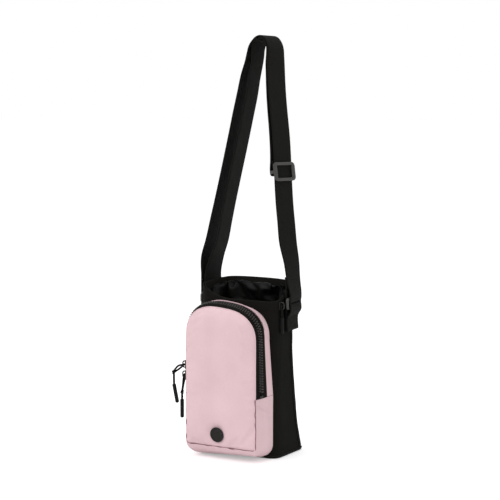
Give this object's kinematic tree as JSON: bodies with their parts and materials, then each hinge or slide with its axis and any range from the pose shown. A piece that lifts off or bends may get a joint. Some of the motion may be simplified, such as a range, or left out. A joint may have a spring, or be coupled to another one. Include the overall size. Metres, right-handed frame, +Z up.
{
  "type": "bottle bag",
  "caption": "Small crossbody bottle bag: tall open body with a crumpled drawcord collar, zipped arched phone pocket in front, cord pulls and an adjustable webbing strap held up in a loop.",
  "frame": {"origin": "on the floor, under the middle of the base", "axes": "+Z up, the zipped pocket faces -Y, +X is the wearer's view right: the side with the strap slider"},
  "size_m": [0.1463, 0.1363, 0.553],
  "materials": {
    "black_cloth": "matt black woven nylon",
    "webbing": "ribbed black webbing and zip tape",
    "lining_cloth": "thin crumpled black nylon",
    "pink_cloth": "pale pink woven nylon",
    "cord": "braided black cord",
    "grey_plastic": "dark grey moulded acetal",
    "black_moulded": "black moulded plastic",
    "black_metal": "black lacquered metal",
    "board": "white base board"
  },
  "bodies": {
    "bag": {"base_panel": "black_cloth", "base_board": "board", "body_front_panel": "black_cloth", "body_back_panel": "black_cloth", "mouth_facing": "black_cloth", "lining": "lining_cloth", "mouth_collar": "lining_cloth", "drawcord": "cord", "drawcord_eyelet": "black_metal", "pocket_front_panel": "pink_cloth", "pocket_upper_gusset": "pink_cloth", "pocket_lower_gusset": "pink_cloth", "pocket_back_panel": "pink_cloth", "zip_tape_front": "webbing", "zip_tape_rear": "webbing", "zip_teeth_front": "black_moulded", "zip_teeth_rear": "black_moulded", "zip_stop_left": "black_metal", "zip_stop_right": "black_metal", "badge": "black_moulded", "strap_tab_left": "webbing", "strap_tab_right": "webbing", "ring_left": "grey_plastic", "ring_right": "grey_plastic", "strap_long_run": "webbing", "strap_return_left": "webbing", "strap_return_right": "webbing"},
    "strap_slider": {"strap_slider": "grey_plastic"},
    "zip_slider_upper": {"zip_slider_upper": "black_metal"},
    "zip_pull_upper": {"zip_pull_upper_cord": "cord", "zip_pull_upper_end": "black_moulded"},
    "zip_slider_lower": {"zip_slider_lower": "black_metal"},
    "zip_pull_lower": {"zip_pull_lower_cord": "cord", "zip_pull_lower_end": "black_moulded"},
    "drawcord_pull": {"drawcord_pull_cord": "cord", "drawcord_pull_end": "black_moulded"}
  },
  "joints": [
    {"name": "zip_upper_slide", "type": "slide", "parent": "bag", "child": "zip_slider_upper", "axis": [0.0199, -0.0072, 0.9998], "range_m": [0, 0.028]},
    {"name": "zip_upper_pull_swing", "type": "hinge", "parent": "zip_slider_upper", "child": "zip_pull_upper", "pos_m": [-0.06205, -0.07036, 0.12], "axis": [-0.2237, 0.9747, 0], "range_deg": [-4, 90]},
    {"name": "zip_lower_slide", "type": "slide", "parent": "bag", "child": "zip_slider_lower", "axis": [0.0199, -0.0072, 0.9998], "range_m": [-0.0105, 0]},
    {"name": "zip_lower_pull_swing", "type": "hinge", "parent": "zip_slider_lower", "child": "zip_pull_lower", "pos_m": [-0.06231, -0.07031, 0.1064], "axis": [-0.2402, 0.9707, 0], "range_deg": [-3, 90]},
    {"name": "drawcord_pull_swing", "type": "hinge", "parent": "bag", "child": "drawcord_pull", "pos_m": [0.06126, -0.0276, 0.201], "axis": [0, -1, 0], "range_deg": [0, 80]},
    {"name": "strap_slider_slide", "type": "slide", "parent": "bag", "child": "strap_slider", "axis": [-0.1353, 0.1187, 0.9837], "range_m": [-0.035, 0.035], "deforming": ["strap_return_right"]}
  ]
}
